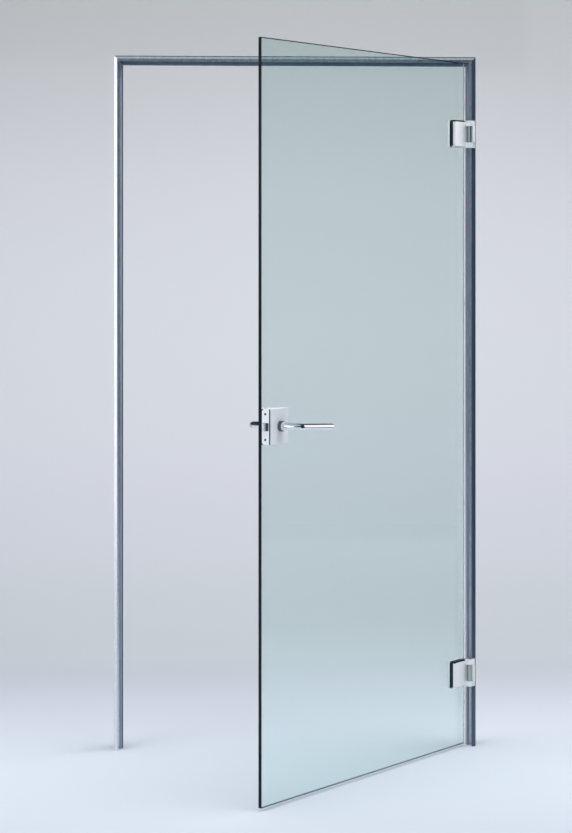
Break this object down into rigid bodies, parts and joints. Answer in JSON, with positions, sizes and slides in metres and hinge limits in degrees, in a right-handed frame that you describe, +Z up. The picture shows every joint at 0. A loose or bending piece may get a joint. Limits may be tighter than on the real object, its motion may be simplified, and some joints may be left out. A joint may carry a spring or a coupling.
{
  "type": "glass entrance door with frame",
  "caption": "Frameless toughened-glass swing door in a slim bevelled aluminium frame, with clamp hinges, a patch latch lock and lever handles, standing partly open.",
  "frame": {"origin": "middle of the frame's width on its front plane, at floor level", "axes": "+X toward the hinge jamb, +Y into the doorway away from the side the leaf opens to, +Z up"},
  "size_m": [1.06, 0.8898, 2.025],
  "materials": {
    "frame_aluminium": "satin anodised, light grey",
    "cleat_aluminium": "as cast",
    "seal_rubber": "matte grey",
    "door_glass": "clear toughened glass with a faint blue-green tint and dark polished edges",
    "gasket_rubber": "matte dark",
    "bush_plastic": "matte",
    "lever_chrome": "polished",
    "lock_satin": "satin",
    "hinge_metal": "satin anodised",
    "dark_steel": "blackened",
    "steel": "bright zinc plated"
  },
  "bodies": {
    "frame": {"hinge_jamb": "frame_aluminium", "strike_jamb": "frame_aluminium", "head_rail": "frame_aluminium", "corner_cleat_hinge": "cleat_aluminium", "corner_cleat_strike": "cleat_aluminium", "corner_screws": "steel", "seal_hinge_jamb": "seal_rubber", "seal_strike_jamb": "seal_rubber", "seal_head": "seal_rubber", "strike_plate": "steel", "strike_screws": "steel", "upper_hinge_bracket": "hinge_metal", "lower_hinge_bracket": "hinge_metal", "upper_bracket_screws": "steel", "lower_bracket_screws": "steel", "upper_hinge_pin": "steel", "lower_hinge_pin": "steel"},
    "leaf": {"glass_pane": "door_glass", "upper_hinge_plate": "hinge_metal", "upper_hinge_back_plate": "hinge_metal", "upper_hinge_bushes": "bush_plastic", "upper_hinge_front_gasket": "gasket_rubber", "upper_hinge_back_gasket": "gasket_rubber", "upper_hinge_sleeves": "gasket_rubber", "upper_hinge_screws": "steel", "lower_hinge_plate": "hinge_metal", "lower_hinge_back_plate": "hinge_metal", "lower_hinge_bushes": "bush_plastic", "lower_hinge_front_gasket": "gasket_rubber", "lower_hinge_back_gasket": "gasket_rubber", "lower_hinge_sleeves": "gasket_rubber", "lower_hinge_screws": "steel", "lock_cover": "lock_satin", "lock_body": "steel", "lock_trim": "bush_plastic", "lock_forend": "lock_satin", "forend_screws": "dark_steel", "lock_front_gasket": "gasket_rubber", "lock_back_gasket": "gasket_rubber", "lock_back_plate": "lock_satin", "lock_screws": "steel", "lock_sleeves": "gasket_rubber", "front_collar": "lever_chrome", "rear_collar": "lever_chrome", "lever_spring": "steel"},
    "lever_set": {"front_lever": "lever_chrome", "rear_lever": "lever_chrome", "spindle": "steel", "follower": "steel", "grub_screws": "steel"},
    "latch": {"latch_bolt": "steel"}
  },
  "joints": [
    {"name": "leaf_swing", "type": "hinge", "parent": "frame", "child": "leaf", "pos_m": [0.512, -0.0055, 1], "axis": [0, 0, 1], "range_deg": [-52, 58]},
    {"name": "lever_turn", "type": "hinge", "parent": "leaf", "child": "lever_set", "pos_m": [-0.08662, -0.7751, 0.997], "axis": [-0.788, 0.6157, 0], "range_deg": [0, 40], "stiffness_Nm_per_rad": 1.2, "springref_deg": -45.84},
    {"name": "latch_slide", "type": "slide", "parent": "leaf", "child": "latch", "axis": [-0.6157, -0.788, 0], "range_m": [-0.0101, 0]}
  ],
  "couplings": [
    {"joint": "latch_slide", "follows": "lever_turn", "m_per_rad": -0.014324}
  ]
}
